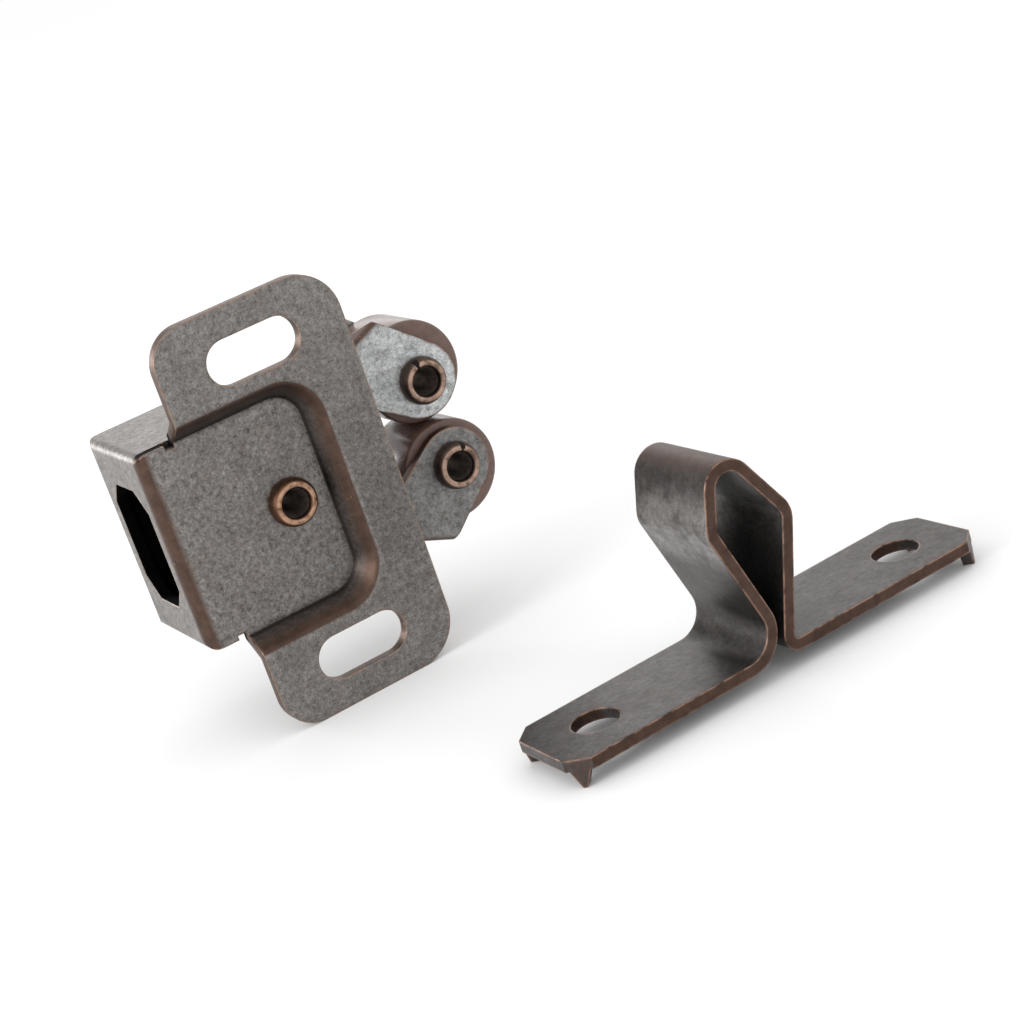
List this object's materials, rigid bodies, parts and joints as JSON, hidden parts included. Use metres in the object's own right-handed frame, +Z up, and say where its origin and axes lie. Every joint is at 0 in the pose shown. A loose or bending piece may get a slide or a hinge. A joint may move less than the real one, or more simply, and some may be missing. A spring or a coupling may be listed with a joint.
{
  "type": "double roller catch",
  "caption": "Sprung cabinet catch with a slotted mounting plate and rollers on folded arms, and the looped strike that they grip.",
  "frame": {"origin": "middle of the mounting plate's face, between its two slots", "axes": "+Z up along the plate, +X towards the rollers and the door, +Y away from the wall, into the case"},
  "size_m": [0.0605, 0.0588, 0.0426],
  "materials": {
    "plated_steel": "antique copper plate over sheet steel, dark and satin, with bright copper on its edges",
    "ear_steel": "antique copper plate over sheet steel, dark and satin, with bright copper on its edges",
    "rivet_copper": "antique copper plate, worn bright at the rolled rims",
    "brown_nylon": "dark brown moulded nylon, dull",
    "spring_steel": "plain drawn wire"
  },
  "bodies": {
    "housing": {"housing": "plated_steel", "pivot_rivet": "rivet_copper", "spring": "spring_steel", "strike": "plated_steel"},
    "upper_arm": {"upper_arm": "ear_steel", "upper_roller_rivet": "rivet_copper"},
    "lower_arm": {"lower_arm": "ear_steel", "lower_roller_rivet": "rivet_copper"},
    "upper_roller": {"upper_roller": "brown_nylon"},
    "lower_roller": {"lower_roller": "brown_nylon"}
  },
  "joints": [
    {"name": "upper_arm_pivot", "type": "hinge", "parent": "housing", "child": "upper_arm", "pos_m": [-0.0009, 0.01, 0], "axis": [0, -1, 0], "range_deg": [0, 14], "stiffness_Nm_per_rad": 0.12, "springref_deg": -13.46, "deforming": ["spring"]},
    {"name": "lower_arm_pivot", "type": "hinge", "parent": "housing", "child": "lower_arm", "pos_m": [-0.0009, 0.01, 0], "axis": [0, 1, 0], "range_deg": [0, 14], "stiffness_Nm_per_rad": 0.12, "springref_deg": -13.46, "deforming": ["spring"]},
    {"name": "upper_roller_spin", "type": "hinge", "parent": "upper_arm", "child": "upper_roller", "pos_m": [0.0176, 0.01, 0.00545], "axis": [0, 1, 0], "continuous": true},
    {"name": "lower_roller_spin", "type": "hinge", "parent": "lower_arm", "child": "lower_roller", "pos_m": [0.0176, 0.01, -0.00545], "axis": [0, 1, 0], "continuous": true}
  ]
}
